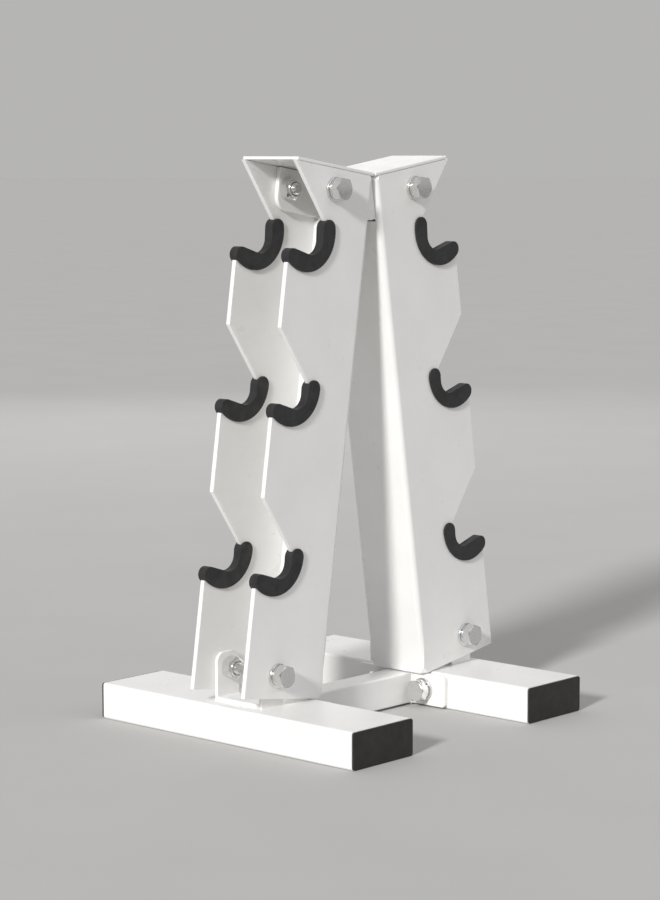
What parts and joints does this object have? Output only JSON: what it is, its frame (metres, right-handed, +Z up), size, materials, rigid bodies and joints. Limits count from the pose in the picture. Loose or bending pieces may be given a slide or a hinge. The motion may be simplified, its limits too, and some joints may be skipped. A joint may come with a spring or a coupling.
{
  "type": "dumbbell rack",
  "caption": "Free-standing A-frame rack of white channel steel on flat tube feet, with rubber-lined seats in tiers that cradle dumbbell handles on both sides.",
  "frame": {"origin": "on the floor, midway between the two feet and midway along their length", "axes": "+X to the right across the rack, -Y towards the front, +Z up; the dumbbells' handles lie along Y"},
  "size_m": [0.3082, 0.2784, 0.463],
  "materials": {
    "powder_coat": "satin white powder coat",
    "rubber": "matte black moulded rubber",
    "plastic": "matte dark plastic",
    "zinc": "bright zinc plate"
  },
  "bodies": {
    "root": {"base_bolt_left_front": "zinc", "base_bolt_left_rear": "zinc", "base_bolt_right_front": "zinc", "base_bolt_right_rear": "zinc", "base_bracket_left": "powder_coat", "base_bracket_right": "powder_coat", "base_nut_left_front": "zinc", "base_nut_left_rear": "zinc", "base_nut_right_front": "zinc", "base_nut_right_rear": "zinc", "beam_bolt_left_front": "zinc", "beam_bolt_left_rear": "zinc", "beam_bolt_right_front": "zinc", "beam_bolt_right_rear": "zinc", "beam_end_plate_left": "powder_coat", "beam_end_plate_right": "powder_coat", "beam_nut_left_front": "zinc", "beam_nut_left_rear": "zinc", "beam_nut_right_front": "zinc", "beam_nut_right_rear": "zinc", "cross_beam": "powder_coat", "end_cap_left_front": "plastic", "end_cap_left_rear": "plastic", "end_cap_right_front": "plastic", "end_cap_right_rear": "plastic", "foot_left": "powder_coat", "foot_right": "powder_coat", "saddle_pad_left_front_bottom": "rubber", "saddle_pad_left_front_middle": "rubber", "saddle_pad_left_front_top": "rubber", "saddle_pad_left_rear_bottom": "rubber", "saddle_pad_left_rear_middle": "rubber", "saddle_pad_left_rear_top": "rubber", "saddle_pad_right_front_bottom": "rubber", "saddle_pad_right_front_middle": "rubber", "saddle_pad_right_front_top": "rubber", "saddle_pad_right_rear_bottom": "rubber", "saddle_pad_right_rear_middle": "rubber", "saddle_pad_right_rear_top": "rubber", "top_bolt_left_front": "zinc", "top_bolt_left_rear": "zinc", "top_bolt_right_front": "zinc", "top_bolt_right_rear": "zinc", "top_joiner_front": "powder_coat", "top_joiner_rear": "powder_coat", "top_nut_left_front": "zinc", "top_nut_left_rear": "zinc", "top_nut_right_front": "zinc", "top_nut_right_rear": "zinc", "top_plate_left": "powder_coat", "top_plate_right": "powder_coat", "upright_left": "powder_coat", "upright_right": "powder_coat"}
  },
  "joints": []
}
